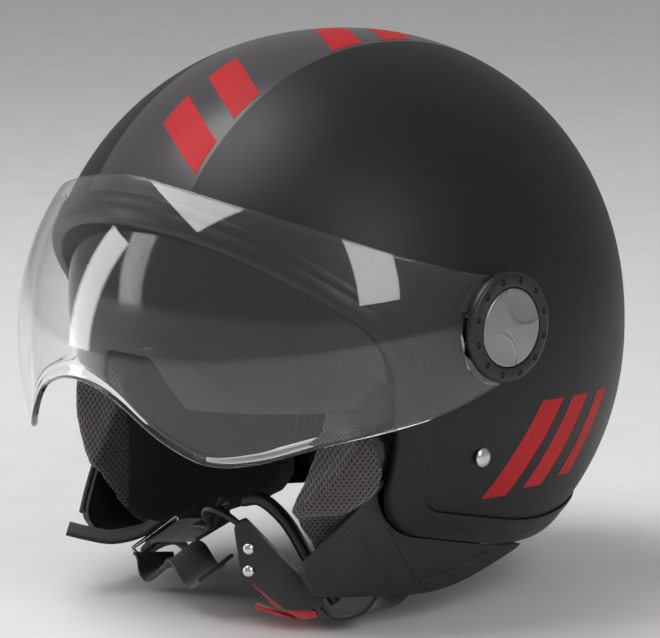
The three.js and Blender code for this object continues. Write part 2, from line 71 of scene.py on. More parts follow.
BUBBLE = np.array([-39.4, -2.2])
BUBBLE_R = 118.5
VISOR_WALL = 2.2
SUN_SIDE = 113.0
SUN_R = 108.3
SUN_WALL = 2.0
RING_R = 24.3
CAP_R = 17.1
RIVET = np.array([-24.1, -41.6])
STRAP_WIDTH = 21.0
STRAP_THICK = 1.8
PAD_IN = 68.0

OPENING = [
    (-FAR, 167, 0),
    (-66.5, 10.4, 45),
    (-61.5, -72, 28),
    (30, -93, 200),
    (200, -84.5, 0),
    (200, -FAR, 0),
    (-FAR, -FAR, 0),
]
CHEEK = [
    (-66, 8, 14),
    (-78, -36, 30),
    (-95.5, -66, 10),
    (-92, -84, 10),
    (-80, -96, 12),
    (-22, -102, 60),
    (34, -93, 16),
    (38, -40, 30),
    (-8, 8, 20),
]
COVER = [(-61, -50, 3), (-94, -88, 6), (-84, -102, 6), (-18, -109, 90), (40, -91, 5)]
SUN_OUTLINE = [
    (-150, 113, 0),
    (-70, 43, 20),
    (-20, 28, 0),
    (-8, 17, 0),
    (-20, 5, 0),
    (-50, -17, 20),
    (-150, -22, 0),
]


# ------------------------------------------------------------------ materials
class Net:
    """The node tree of one material, with short helpers that return output sockets."""

    def __init__(self, mat):
        self.nodes = mat.node_tree.nodes
        self.links = mat.node_tree.links
        self.shader = self.nodes["Principled BSDF"]

    def put(self, socket, output):
        """Feeds an output into one of the shader's sockets."""
        self.links.new(output, self.shader.inputs[socket])

    def fix(self, **values):
        """Sets constants on the shader; a socket's name is written with _ for each space."""
        for socket, value in values.items():
            self.shader.inputs[socket.replace("_", " ")].default_value = value

    def coords(self, scale=(1, 1, 1), rotation=(0, 0, 0)):
        where = self.nodes.new("ShaderNodeTexCoord")
        mapping = self.nodes.new("ShaderNodeMapping")
        mapping.inputs["Scale"].default_value = scale
        mapping.inputs["Rotation"].default_value = rotation
        self.links.new(where.outputs["Object"], mapping.inputs["Vector"])
        return mapping.outputs["Vector"]

    def split(self, vector):
        parts = self.nodes.new("ShaderNodeSeparateXYZ")
        self.links.new(vector, parts.inputs["Vector"])
        return parts.outputs

    def noise(self, scale, detail=4.0):
        n = self.nodes.new("ShaderNodeTexNoise")
        n.inputs["Scale"].default_value = scale
        n.inputs["Detail"].default_value = detail
        self.links.new(self.coords(), n.inputs["Vector"])
        return n.outputs["Fac"]

    def ramp(self, factor, stops):
        r = self.nodes.new("ShaderNodeValToRGB")
        elements = r.color_ramp.elements
        for element, (at, colour) in ((elements[0], stops[0]), (elements[1], stops[-1])):
            element.position = at
            element.color = (*colour, 1)
        for at, colour in stops[1:-1]:
            elements.new(at).color = (*colour, 1)
        self.links.new(factor, r.inputs["Fac"])
        return r.outputs["Color"]

    def spread(self, value, low, high, start=0.3, end=0.7):
        m = self.nodes.new("ShaderNodeMapRange")
        m.inputs["From Min"].default_value = start
        m.inputs["From Max"].default_value = end
        m.inputs["To Min"].default_value = low
        m.inputs["To Max"].default_value = high
        self.links.new(value, m.inputs["Value"])
        return m.outputs["Result"]

    def math(self, kind, *values):
        m = self.nodes.new("ShaderNodeMath")
        m.operation = kind
        for socket, value in zip(m.inputs, values):
            if isinstance(value, (int, float)):
                socket.default_value = value
            else:
                self.links.new(value, socket)
        return m.outputs[0]

    def bump(self, height, strength, distance, over=None):
        b = self.nodes.new("ShaderNodeBump")
        b.inputs["Strength"].default_value = strength
        b.inputs["Distance"].default_value = distance
        self.links.new(height, b.inputs["Height"])
        if over is not None:
            self.links.new(over, b.inputs["Normal"])
        self.put("Normal", b.outputs["Normal"])
        return b.outputs["Normal"]


def material(name, build):
    mat = bpy.data.materials.new(name)
    mat.use_nodes = True
    build(Net(mat))
    return mat


def plain(dark, light, rough, metal=0.0, grain=900.0, depth=0.00003, strength=0.25, specular=0.5, coat=0.0):
    """A hard surface: slight tone and roughness variation and a fine grain."""

    def build(net):
        net.put("Base Color", net.ramp(net.noise(28.0, 6.0), [(0.3, dark), (0.7, light)]))
        net.put("Roughness", net.spread(net.noise(60.0, 8.0), *rough))
        net.fix(Metallic=metal, Specular_IOR_Level=specular, Coat_Weight=coat, Coat_Roughness=0.08)
        net.bump(net.noise(grain, 3.0), strength, depth)

    return build


def shell_paint(net):
    """Matte black lacquer; the band over the top is glossier, and greyer with a painted reflection of the
    overhead light, with a fine edge line.
    """
    where = net.nodes.new("ShaderNodeTexCoord")
    place = net.split(where.outputs["Object"])
    side = net.math("ABSOLUTE", place["X"])
    above = net.math("GREATER_THAN", place["Z"], -0.06)
    band = net.math("MULTIPLY", net.spread(side, 1.0, 0.0, 0.0318, 0.0324), above)
    rim = net.math("MULTIPLY", net.math("COMPARE", side, 0.0328, 0.00045), above)
    tone = net.math("MULTIPLY_ADD", net.noise(14.0, 6.0), 0.12, -0.06)
    # the band lifts the tone to grey: a painted reflection of the overhead light, on top of its real gloss
    tone = net.math("ADD", tone, net.math("MULTIPLY_ADD", band, 0.5, 0.25))
    tone = net.math("SUBTRACT", tone, net.math("MULTIPLY", rim, 0.2))
    black, matte, grey = (0.001, 0.001, 0.001), (0.0042, 0.0038, 0.0043), (0.055, 0.050, 0.056)
    net.put("Base Color", net.ramp(tone, [(0.0, black), (0.25, matte), (0.8, grey)]))
    rough = net.math("MULTIPLY_ADD", band, -0.17, 0.47)
    rough = net.math("ADD", rough, net.math("MULTIPLY_ADD", net.noise(40.0, 8.0), 0.08, -0.04))
    net.put("Roughness", rough)
    net.fix(Specular_IOR_Level=0.42)
    net.bump(net.noise(1400.0, 2.0), 0.22, 0.00003)


def spacer_mesh(net):
    """Knitted spacer mesh: rows of small diamond holes over a soft face, the holes darkened with painted
    shade.
    """
    pitch = 1.0 / 0.0024
    place = net.split(net.coords())
    flat = net.math("MULTIPLY_ADD", place["Y"], 0.72, net.math("MULTIPLY", place["X"], 0.72))
    u = net.math("MULTIPLY", flat, pitch)
    w = net.math("MULTIPLY", place["Z"], pitch * 0.72)

    def wave(diagonal):
        return net.math("SINE", net.math("MULTIPLY", diagonal, math.pi))

    a = wave(net.math("ADD", u, w))
    b = wave(net.math("SUBTRACT", u, w))
    hole = net.math("MULTIPLY", net.math("MULTIPLY", a, a), net.math("MULTIPLY", b, b))
    fuzz = net.math("MULTIPLY_ADD", net.noise(900.0, 3.0), 0.3, -0.15)
    hole = net.math("ADD", hole, fuzz)
    # the two darker tones are painted shade, on the hole walls and deepest inside the holes
    face, edge, hole_shade = (0.085, 0.074, 0.075), (0.035, 0.030, 0.031), (0.006, 0.005, 0.005)
    net.put("Base Color", net.ramp(hole, [(0.2, face), (0.5, edge), (0.8, hole_shade)]))
    net.fix(Roughness=0.9, Sheen_Weight=0.35, Sheen_Roughness=0.5, Specular_IOR_Level=0.2)
    net.bump(net.math("MULTIPLY", hole, -1.0), 0.9, 0.0007)


def leather(net):
    """Synthetic leather: pebbled grain, slight creases, soft sheen."""
    cells = net.nodes.new("ShaderNodeTexVoronoi")
    cells.inputs["Scale"].default_value = 900.0
    net.links.new(net.coords(), cells.inputs["Vector"])
    crease = net.noise(55.0, 8.0)
    dark, light = (0.008, 0.0078, 0.0085), (0.017, 0.0165, 0.0175)
    net.put("Base Color", net.ramp(crease, [(0.3, dark), (0.7, light)]))
    net.put("Roughness", net.spread(crease, 0.42, 0.58))
    first = net.bump(crease, 0.25, 0.0006)
    net.bump(cells.outputs["Distance"], 0.35, 0.00025, first)


def smooth_lining(net):
    """Brushed knit lining on the pads' smooth panels."""
    weave = net.nodes.new("ShaderNodeTexWave")
    weave.inputs["Scale"].default_value = 700.0
    weave.inputs["Distortion"].default_value = 1.5
    weave.inputs["Detail"].default_value = 3.0
    net.links.new(net.coords((1, 1, 1.4), (0.4, 0.7, 0)), weave.inputs["Vector"])
    tone = net.noise(24.0, 5.0)
    dark, light = (0.006, 0.006, 0.0065), (0.012, 0.0118, 0.0125)
    net.put("Base Color", net.ramp(tone, [(0.3, dark), (0.7, light)]))
    net.put("Roughness", net.spread(tone, 0.7, 0.85))
    net.fix(Sheen_Weight=0.25)
    net.bump(weave.outputs["Fac"], 0.5, 0.0002)


def webbing_cloth(net):
    """Polyester webbing: the weave comes from the UVs, which run along the strap in millimetres."""
    uv = net.nodes.new("ShaderNodeUVMap")
    place = net.split(uv.outputs["UV"])
    u = net.math("MULTIPLY", place["X"], math.pi / 1.1)
    v = net.math("MULTIPLY", place["Y"], math.pi / 1.6)
    a = net.math("ABSOLUTE", net.math("SINE", net.math("ADD", u, v)))
    b = net.math("ABSOLUTE", net.math("SINE", net.math("SUBTRACT", u, v)))
    weave = net.math("MAXIMUM", a, b)
    tone = net.math("MULTIPLY_ADD", net.noise(500.0, 4.0), 0.5, net.math("MULTIPLY", weave, 0.5))
    dark, light = (0.006, 0.006, 0.006), (0.028, 0.028, 0.028)
    net.put("Base Color", net.ramp(tone, [(0.3, dark), (0.9, light)]))
    net.fix(Roughness=0.72, Sheen_Weight=0.4, Sheen_Roughness=0.4)
    net.bump(weave, 0.8, 0.00035)


def clear_plastic(net):
    """Clear polycarbonate with a hard coat and a trace of dust."""
    dust = net.noise(350.0, 8.0)
    net.put("Base Color", net.ramp(dust, [(0.3, (0.97, 0.98, 0.99)), (0.7, (0.99, 0.99, 1.0))]))
    net.put("Roughness", net.spread(dust, 0.0, 0.03))
    net.fix(Transmission_Weight=1.0, IOR=1.5)
    net.bump(net.noise(9.0, 2.0), 0.03, 0.001)


def smoke_plastic(net):
    """Near-black smoked polycarbonate, slightly see-through."""
    dark, light = (0.0012, 0.0013, 0.0016), (0.0022, 0.0023, 0.0027)
    net.put("Base Color", net.ramp(net.noise(12.0, 3.0), [(0.3, dark), (0.7, light)]))
    net.put("Roughness", net.spread(net.noise(300.0, 6.0), 0.07, 0.12))
    net.fix(IOR=1.5, Alpha=0.92)
    net.bump(net.noise(8.0, 2.0), 0.02, 0.001)


def grey(value, blue=0.0):
    """A neutral colour, with a little more blue where asked."""
    return (value, value, value + blue)


EDGE_RUBBER = plain(grey(0.007, 0.0005), grey(0.011, 0.0005), (0.34, 0.46), grain=700.0, specular=0.35)
GREY_FOAM = plain(grey(0.03, 0.001), grey(0.05, 0.002), (0.8, 0.95), grain=330.0, depth=0.0006, strength=0.7)
SATIN = plain(grey(0.010, 0.001), grey(0.016, 0.001), (0.3, 0.42))
GUNMETAL = plain(grey(0.26, 0.01), grey(0.34, 0.01), (0.26, 0.36), metal=0.7)
STEEL = plain(grey(0.55, 0.01), grey(0.72, 0.01), (0.16, 0.3), metal=1.0)
MOULDED = plain(grey(0.014, 0.001), grey(0.022, 0.001), (0.32, 0.46))
RED_GLOSS = plain((0.42, 0.014, 0.018), (0.55, 0.03, 0.032), (0.18, 0.28), coat=0.3)
RED_PRINT = plain((0.40, 0.008, 0.012), (0.50, 0.014, 0.018), (0.5, 0.6), specular=0.25)
CORD = plain(grey(0.014, 0.001), grey(0.03, 0.001), (0.5, 0.65), grain=1500.0, depth=0.0002, strength=0.6)

MAT = {
    "shell": material("shell_paint", shell_paint),
    "rubber": material("edge_rubber", EDGE_RUBBER),
    "foam": material("grey_foam", GREY_FOAM),
    "mesh": material("spacer_mesh", spacer_mesh),
    "leather": material("synthetic_leather", leather),
    "lining": material("smooth_lining", smooth_lining),
    "clear": material("clear_polycarbonate", clear_plastic),
    "smoke": material("smoked_polycarbonate", smoke_plastic),
    "satin": material("satin_black", SATIN),
    "gunmetal": material("gunmetal_paint", GUNMETAL),
    "steel": material("bright_steel", STEEL),
    "webbing": material("ribbed_webbing", webbing_cloth),
    "plastic": material("moulded_plastic", MOULDED),
    "red": material("red_plastic", RED_GLOSS),
    "red_print": material("red_print", RED_PRINT),
    "piping": material("piping_cord", CORD),
}


# ------------------------------------------------------------------ mesh helpers
def raw_object(name, verts, faces, smooth=35.0):
    """A mesh object from millimetre points."""
    mesh = bpy.data.meshes.new(name)
    mesh.from_pydata((np.asarray(verts, float) * MM).tolist(), [], [tuple(int(i) for i in f) for f in faces])
    shade(mesh, smooth)
    ob = bpy.data.objects.new(name, mesh)
    bpy.context.scene.collection.objects.link(ob)
    return ob


def shade(mesh, angle=35.0):
    mesh.polygons.foreach_set("use_smooth", [True] * len(mesh.polygons))
    mesh.set_sharp_from_angle(angle=math.radians(angle))
    mesh.update()


def applied(ob, smooth=35.0):
    """Bakes an object's modifiers into its mesh."""
    graph = bpy.context.evaluated_depsgraph_get()
    mesh = bpy.data.meshes.new_from_object(ob.evaluated_get(graph))
    ob.modifiers.clear()
    old = ob.data
    ob.data = mesh
    bpy.data.meshes.remove(old)
    shade(mesh, smooth)
    return ob


def combine(ob, other, how, smooth=35.0):
    mod = ob.modifiers.new("cut", "BOOLEAN")
    mod.object = other
    mod.operation = how
    mod.solver = "MANIFOLD"
    applied(ob, smooth)
    bpy.data.objects.remove(other)
    return ob


def minus(ob, other, smooth=35.0):
    return combine(ob, other, "DIFFERENCE", smooth)


def common(ob, other, smooth=35.0):
    return combine(ob, other, "INTERSECT", smooth)


def rounded(ob, width, segments=3, angle=30.0, smooth=35.0):
    mod = ob.modifiers.new("bevel", "BEVEL")
    mod.width = width * MM
    mod.segments = segments
    mod.limit_method = "ANGLE"
    mod.angle_limit = math.radians(angle)
    return applied(ob, smooth)


def finish_piece(ob, mat, body, nodes=()):
    ob.data.materials.clear()
    ob.data.materials.append(MAT[mat])
    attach(ob, body)
    if nodes:
        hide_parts(*nodes)
    return ob


def mirrored(ob, name):
    """A mirror image of an object across the middle plane."""
    mesh = ob.data.copy()
    mesh.transform(Matrix.Scale(-1, 4, (1, 0, 0)))
    mesh.flip_normals()
    twin = bpy.data.objects.new(name, mesh)
    bpy.context.scene.collection.objects.link(twin)
    return twin


def grid_faces(rows, cols, wrap_rows=False, wrap_cols=False):
    faces = []
    for i in range(rows if wrap_rows else rows - 1):
        for j in range(cols if wrap_cols else cols - 1):
            a, b = i * cols + j, i * cols + (j + 1) % cols
            c, d = ((i + 1) % rows) * cols + (j + 1) % cols, ((i + 1) % rows) * cols + j
            faces.append((a, b, c, d))
    return faces


def axes(size, offset, y, z):
    return (
        size["side"] + offset,
        np.where(y < 0, size["front"], size["rear"]) + offset,
        np.where(z > 0, size["up"], size["down"]) + offset,
    )


def dome(name, offset, size=SHELL, across=180, down=120, power=POWER, centre=(0, 0, 0)):
    t = np.linspace(0, math.pi, down + 1)
    f = np.linspace(0, 2 * math.pi, across, endpoint=False)
    T, F = np.meshgrid(t[1:-1], f, indexing="ij")
    p = np.stack([np.sin(T) * np.cos(F), np.sin(T) * np.sin(F), np.cos(T)], -1).reshape(-1, 3)
    p = np.vstack([p, [[0, 0, 1], [0, 0, -1]]])
    a, b, c = axes(size, offset, p[:, 1], p[:, 2])
    reach = np.abs(p[:, 0] / a) ** power + np.abs(p[:, 1] / b) ** power + np.abs(p[:, 2] / c) ** power
    p = p * (reach ** (-1 / power))[:, None] + np.array(centre)
    n = len(p)
    faces = [(a_, d_, c_, b_) for a_, b_, c_, d_ in grid_faces(down - 1, across, False, True)]
    last = (down - 2) * across
    for j in range(across):
        k = (j + 1) % across
        faces.append((n - 2, j, k))
        faces.append((n - 1, last + k, last + j))
    return raw_object(name, p, faces)


def fillet(corners, offset=0.0, divisions=10):
    """Outline with round corners, grown by offset; counterclockwise."""
    pts = np.array([c[:2] for c in corners], float)
    rad = [c[2] for c in corners]
    area = np.sum(pts[:, 0] * np.roll(pts[:, 1], -1) - np.roll(pts[:, 0], -1) * pts[:, 1])
    if area < 0:
        pts, rad = pts[::-1], rad[::-1]
    n = len(pts)
    edges = [(pts[(i + 1) % n] - pts[i]) / np.linalg.norm(pts[(i + 1) % n] - pts[i]) for i in range(n)]
    moved, radii = [], []
    for i in range(n):
        e0, e1 = edges[i - 1], edges[i]
        o0, o1 = np.array([e0[1], -e0[0]]), np.array([e1[1], -e1[0]])
        turn = e0[0] * e1[1] - e0[1] * e1[0]
        moved.append(pts[i] + (o0 + o1) * offset / (1 + o0 @ o1))
        radii.append(max(rad[i] + math.copysign(1, turn) * offset, 0.5) if rad[i] else 0)
    out = []
    for i, p in enumerate(moved):
        if not radii[i]:
            out.append(p)
            continue
        before = moved[i - 1] - p
        after = moved[(i + 1) % n] - p
        before, after = before / np.linalg.norm(before), after / np.linalg.norm(after)
        half = math.acos(np.clip(before @ after, -1, 1)) / 2
        start = p + before * radii[i] / math.tan(half)
        end = p + after * radii[i] / math.tan(half)
        mid = (before + after) / np.linalg.norm(before + after)
        centre = p + mid * radii[i] / math.sin(half)
        a0, a1 = start - centre, end - centre
        sweep = math.atan2(a0[0] * a1[1] - a0[1] * a1[0], a0 @ a1)
        for k in range(divisions + 1):
            c, s = math.cos(sweep * k / divisions), math.sin(sweep * k / divisions)
            out.append(centre + np.array([a0[0] * c - a0[1] * s, a0[0] * s + a0[1] * c]))
    return np.array(out)


def prism(name, points, x0, x1):
    """Side-view outline in (y, z) pushed along X."""
    n = len(points)
    low = np.column_stack([np.full(n, x0), points])
    high = np.column_stack([np.full(n, x1), points])
    faces = [tuple(range(n - 1, -1, -1)), tuple(range(n, 2 * n))]
    faces += [(i, (i + 1) % n, n + (i + 1) % n, n + i) for i in range(n)]
    return raw_object(name, np.vstack([low, high]), faces)


def lathe(name, profile, y, z, segments=96, side=1):
    """Turned about an axis along X through (y, z); the [radius, x] profile closes on itself or the axis."""
    profile = np.array(profile, float)
    t = np.linspace(0, 2 * math.pi, segments, endpoint=False)
    closed = profile[0, 0] > 1e-6
    rings = [r for r in profile if r[0] > 1e-6]
    turns = [(np.full(segments, x), y + r * np.cos(t), z + r * np.sin(t)) for r, x in rings]
    pts = np.vstack([np.column_stack(turn) for turn in turns])
    faces = grid_faces(len(rings), segments, closed, True)
    if not closed:
        k = len(pts)
        pts = np.vstack([pts, [[profile[0, 1], y, z], [profile[-1, 1], y, z]]])
        last = (len(rings) - 1) * segments
        for j in range(segments):
            faces.append((k, (j + 1) % segments, j))
            faces.append((k + 1, last + j, last + (j + 1) % segments))
    pts[:, 0] *= side
    if side < 0:
        faces = [f[::-1] for f in faces]
    ob = raw_object(name, pts, faces)
    fix_normals(ob)
    return ob


def fix_normals(ob):
    bm = bmesh.new()
    bm.from_mesh(ob.data)
    bmesh.ops.recalc_face_normals(bm, faces=bm.faces)
    bm.to_mesh(ob.data)
    bm.free()
    shade(ob.data)


def wall_x(y, z, offset, size=SHELL):
    _, b, c = axes(size, offset, y, z)
    share = 1 - np.abs(y / b) ** POWER - np.abs(z / c) ** POWER
    return (size["side"] + offset) * np.maximum(share, 0) ** (1 / POWER)


def resample(points, n):
    points = np.asarray(points, float)
    step = np.linalg.norm(np.diff(points, axis=0), axis=1)
    s = np.concatenate([[0], np.cumsum(step)])
    t = np.linspace(0, s[-1], n)
    return np.column_stack([np.interp(t, s, points[:, k]) for k in range(points.shape[1])])


def edge_curve(grow, offset, n=140):
    """The shell opening's edge, grown over the surface, from the brow round the left side to the nape."""
    path = fillet(OPENING, grow, 40)
    path = np.vstack([path, path[:1]])
    dense = resample(path, 24000)
    _, b, c = axes(SHELL, offset, dense[:, 0], dense[:, 1])
    inside = np.abs(dense[:, 0] / b) ** POWER + np.abs(dense[:, 1] / c) ** POWER < 1
    runs = np.flatnonzero(np.diff(inside.astype(int)))
    best = max(
        ((runs[i] + 1, runs[i + 1] + 1) for i in range(len(runs) - 1) if inside[runs[i] + 1]),
        key=lambda r: r[1] - r[0],
    )
    part = dense[best[0] : best[1]]
    if part[0, 1] < part[-1, 1]:
        part = part[::-1]
    x = wall_x(part[:, 0], part[:, 1], offset)
    x[0] = x[-1] = 0
    return resample(np.column_stack([x, part]), n)


def both_sides(half):
    other = half[1:-1][::-1] * np.array([-1, 1, 1])
    return np.vstack([half, other])


def band_profile(width, thick):
    """Section of a flat band with rounded edges."""
    w, h = width / 2, thick / 2
    half = [(-w, 0), (-w + 0.25, h * 0.8), (-w + 0.8, h), (-w / 2, h), (0, h)]
    upper = half + [(-a, b) for a, b in half[-2::-1]]
    return upper + [(a, -b) for a, b in upper[-2:0:-1]]


def ribbon(name, path, sides, profile, steps):
    """A section swept along a smooth path, facing the side directions, with UVs in millimetres."""
    path, sides = np.array(path, float), np.array(sides, float)
    curve = catmull(path, steps * 8 + 1)
    s = np.concatenate([[0], np.cumsum(np.linalg.norm(np.diff(curve, axis=0), axis=1))])
    ts = np.linspace(0, 1, steps + 1)
    idx = np.linspace(0, len(curve) - 1, steps + 1).astype(int)
    dirs = catmull(sides, steps * 8 + 1)[idx]
    pos = curve[idx]
    run = s[idx]
    tangent = np.gradient(pos, axis=0)
    tangent /= np.linalg.norm(tangent, axis=1)[:, None]
    dirs = dirs - np.sum(dirs * tangent, 1)[:, None] * tangent
    dirs /= np.linalg.norm(dirs, axis=1)[:, None]
    out = np.cross(tangent, dirs)
    profile = np.array(profile, float)
    k = len(profile)
    sideways = dirs[:, None, :] * profile[None, :, :1]
    outward = out[:, None, :] * profile[None, :, 1:]
    verts = (pos[:, None, :] + sideways + outward).reshape(-1, 3)
    faces = grid_faces(len(pos), k, False, True)
    faces.append(tuple(range(k - 1, -1, -1)))
    faces.append(tuple((len(pos) - 1) * k + j for j in range(k)))
    ob = raw_object(name, verts, faces, 50)
    layer = ob.data.uv_layers.new(name="along")
    for poly in ob.data.polygons:
        for li in poly.loop_indices:
            vi = ob.data.loops[li].vertex_index
            layer.data[li].uv = (run[vi // k], profile[vi % k, 0])
    fix_normals(ob)
    return ob


def catmull(points, n):
    """A smooth (Catmull-Rom) curve through the points, as many samples as asked."""
    p = np.asarray(points, float)
    if len(p) == 2:
        t = np.linspace(0, 1, n)[:, None]
        return p[0] * (1 - t) + p[1] * t
    ext = np.vstack([2 * p[0] - p[1], p, 2 * p[-1] - p[-2]])
    u = np.linspace(0, len(p) - 1, n)
    i = np.minimum(u.astype(int), len(p) - 2)
    t = (u - i)[:, None]
    p0, p1, p2, p3 = ext[i], ext[i + 1], ext[i + 2], ext[i + 3]
    square = 2 * p0 - 5 * p1 + 4 * p2 - p3
    cube = 3 * p1 - p0 - 3 * p2 + p3
    return 0.5 * (2 * p1 + (p2 - p0) * t + square * t**2 + cube * t**3)


def tube(name, path, radius, sides=12, steps=120):
    curve = catmull(path, steps)
    tangent = np.gradient(curve, axis=0)
    tangent /= np.linalg.norm(tangent, axis=1)[:, None]
    ref = np.array([0.3, 0.5, 0.81])
    verts = []
    for p, t in zip(curve, tangent):
        ref = ref - (ref @ t) * t
        ref /= np.linalg.norm(ref)
        other = np.cross(t, ref)
        for k in range(sides):
            a = 2 * math.pi * k / sides
            verts.append(p + radius * (math.cos(a) * ref + math.sin(a) * other))
    faces = grid_faces(len(curve), sides, False, True)
    faces.append(tuple(range(sides - 1, -1, -1)))
    faces.append(tuple((len(curve) - 1) * sides + j for j in range(sides)))
    ob = raw_object(name, verts, faces, 60)
    fix_normals(ob)
    return ob


# ------------------------------------------------------------------ shell and edge trim
shell = dome("shell", 0, across=220, down=150)
minus(shell, dome("shell_inside", -WALL, across=160, down=110))
minus(shell, prism("mouth", fillet(OPENING), -FAR, FAR))
finish_piece(shell, "shell", "helmet", ["outer_shell"])

# section of the edge moulding: distance back from the shell's edge, then height over its outer face
TRIM_PROFILE = [
    (11.0, 0.15), (11.0, 0.7), (10.7, 1.05), (10.1, 1.25), (8.2, 1.3), (6.6, 1.25), (5.9, 1.05),
    (5.2, 1.25), (2.5, 1.45), (0.4, 1.4), (-0.8, 1.0), (-1.4, 0.2), (-1.6, -1.2), (-1.6, -2.9),
    (-1.3, -4.0), (-0.6, -4.6), (0.6, -4.8), (4.0, -4.8), (6.4, -4.75), (7.0, -4.4), (7.0, -3.8),
    (3.0, -3.75), (0.35, -3.75), (0.35, 0.15), (5.0, 0.15),
]
trim_rows = [both_sides(edge_curve(grow, off)) for grow, off in TRIM_PROFILE]
trim = raw_object(
    "edge_trim",
    np.vstack(trim_rows),
    grid_faces(len(trim_rows), len(trim_rows[0]), True, True),
    50,
)
fix_normals(trim)
finish_piece(trim, "rubber", "helmet", ["shell_edge_trim"])


def sun_ball(name, offset, side, radius, across, down):
    """The round form, centred on the pivots, that the sun visor is cut from."""
    size = dict(side=side, front=radius, rear=radius, up=radius, down=radius)
    return dome(name, offset, size, across, down, 2.0, (0, PIVOT[0], PIVOT[1]))


# ------------------------------------------------------------------ liners
liner = dome("liner", -WALL - 2.2, across=120, down=80)
minus(liner, dome("liner_inside", -LINER_IN, across=120, down=80))
minus(liner, prism("liner_mouth", fillet(OPENING, 8), -FAR, FAR))
POCKET = [(-200, 108, 0), (-70, -40, 8), (-4, -14, 14), (4, 40, 14), (10, 160, 0)]
POCKET_DEPTH = 3.7
pocket = prism("pocket", fillet(POCKET), -FAR, FAR)
minus(pocket, sun_ball("pocket_core", 0, SUN_SIDE - 5, SUN_R - POCKET_DEPTH, 96, 64))
minus(liner, pocket)
for side in (-1, 1):
    minus(liner, lathe("hub_room", [(0, 100), (10, 100), (10, 130), (0, 130)], PIVOT[0], PIVOT[1], 48, side))
minus(liner, prism("cheek_room", fillet(CHEEK, 1.5), -FAR, FAR))
minus(liner, prism("below", np.array([(-FAR, -FAR), (48, -FAR), (48, -44), (-FAR, -44)], float), -FAR, FAR))
neck_room = [(47.4, -85, 0), (150, -85, 0), (150, -49.4, 0), (47.4, -49.4, 0)]
minus(liner, prism("neck_room", fillet(neck_room), -72.6, 72.6))
finish_piece(liner, "foam", "helmet", ["impact_liner"])

CROWN_EDGE = [
    (-FAR, 190, 0),
    (-62, 22, 20),
    (20, 13, 30),
    (50, -42, 12),
    (FAR, -42, 0),
    (FAR, FAR, 0),
    (-FAR, FAR, 0),
]
crown = dome("crown_pad", -LINER_IN - 0.9, across=120, down=80)
minus(crown, dome("crown_inside", -LINER_IN - 0.4 - COMFORT, across=160, down=110))
common(crown, prism("crown_edge", fillet(CROWN_EDGE), -FAR, FAR))
finish_piece(crown, "mesh", "helmet", ["crown_liner"])


# ------------------------------------------------------------------ soft pads
def inflate(ob, voxel=4.0, pressure=4.0, cap=4.0, frames=20, level=1):
    """Remeshes a closed form, swells it as cloth, caps the movement and smooths it."""
    mod = ob.modifiers.new("remesh", "REMESH")
    mod.mode = "VOXEL"
    mod.voxel_size = voxel * MM
    applied(ob)
    rest = np.array([v.co for v in ob.data.vertices])
    cloth = ob.modifiers.new("cloth", "CLOTH")
    cloth.settings.quality = 5
    cloth.settings.use_pressure = True
    cloth.settings.uniform_pressure_force = pressure
    cloth.settings.effector_weights.gravity = 0
    cloth.point_cache.frame_start = 1
    cloth.point_cache.frame_end = frames
    for f in range(1, frames + 1):
        bpy.context.scene.frame_set(f)
    applied(ob)
    bpy.context.scene.frame_set(1)
    now = np.array([v.co for v in ob.data.vertices])
    move = now - rest
    size = np.linalg.norm(move, axis=1)
    k = np.minimum(1.0, cap * MM / np.maximum(size, 1e-9))
    now = rest + move * k[:, None]
    ob.data.vertices.foreach_set("co", now.ravel())
    smooth = ob.modifiers.new("smooth", "SMOOTH")
    smooth.factor = 0.5
    smooth.iterations = 3
    sub = ob.modifiers.new("sub", "SUBSURF")
    sub.levels = level
    sub.render_levels = level
    return applied(ob, 180)


PAD_FRONT = [(-120, 20), (-120, -70), (-72, -70), (-54, -50), (-54, 20)]
PAD_SWELL = [(-120, -30), (-120, -66), (-76, -66), (-62, -50), (-62, -30)]


def pad_room(name, depth, zone):
    """The room under the shell line, to a depth, inside a side-view outline on the left."""
    room = dome(name, depth, across=140, down=90)
    return common(room, prism(name + "_zone", np.array(zone, float), 0, FAR))


def pad_form(name):
    """Foam pad: thin beside the strap, and full in front of it, up to the inside of the edge trim."""
    pad = prism(name, fillet(CHEEK, 0.8), PAD_IN - 0.8, 120)
    side_room = dome("pad_side", -14.0, SKIRT, 140, 90)
    combine(side_room, pad_room("pad_front", -8.0, PAD_FRONT), "UNION")
    combine(side_room, pad_room("pad_swell", -3.0, PAD_SWELL), "UNION")
    common(pad, side_room)
    keep = dome("keep", 2.6, across=140, down=90)
    minus(keep, dome("keep_in", -10.5, across=140, down=90))
    minus(keep, prism("keep_mouth", fillet(OPENING, -3.4), -FAR, FAR))
    minus(pad, keep)
    return inflate(pad, 2.6, 4.0, 2.0)


def split_material(ob, mats, choose):
    """Gives each face the material whose index choose(centre in mm) returns."""
    ob.data.materials.clear()
    for m in mats:
        ob.data.materials.append(MAT[m])
    for poly in ob.data.polygons:
        poly.material_index = choose(poly.center / MM)


pad_left = pad_form("pad_left")
pad_right = mirrored(pad_left, "pad_right")
for ob, side in ((pad_left, "left"), (pad_right, "right")):
    finish_piece(ob, "mesh", "helmet", [f"cheek_pad_{side}"])


def left_panel(c):
    in_front = c.y < -62 - 0.45 * (c.z + 60)
    return 0 if in_front or c.x < 72 else 1


def right_panel(c):
    if c.y < -74:
        return 0
    return 1 if c.x > -80 else 2


split_material(pad_left, ["mesh", "leather"], left_panel)
split_material(pad_right, ["mesh", "lining", "leather"], right_panel)

cover = prism("cover_left", fillet(COVER), PAD_IN, 120)
common(cover, dome("cover_out", 0, SKIRT, 160, 110))
minus(cover, dome("cover_in", -4.0, SKIRT, 160, 110))
keep = dome("cover_keep", 1.8, across=160, down=110)
minus(keep, prism("cover_mouth", fillet(OPENING, -2.3), -FAR, FAR))
minus(cover, keep)
rounded(cover, 0.8, 3)

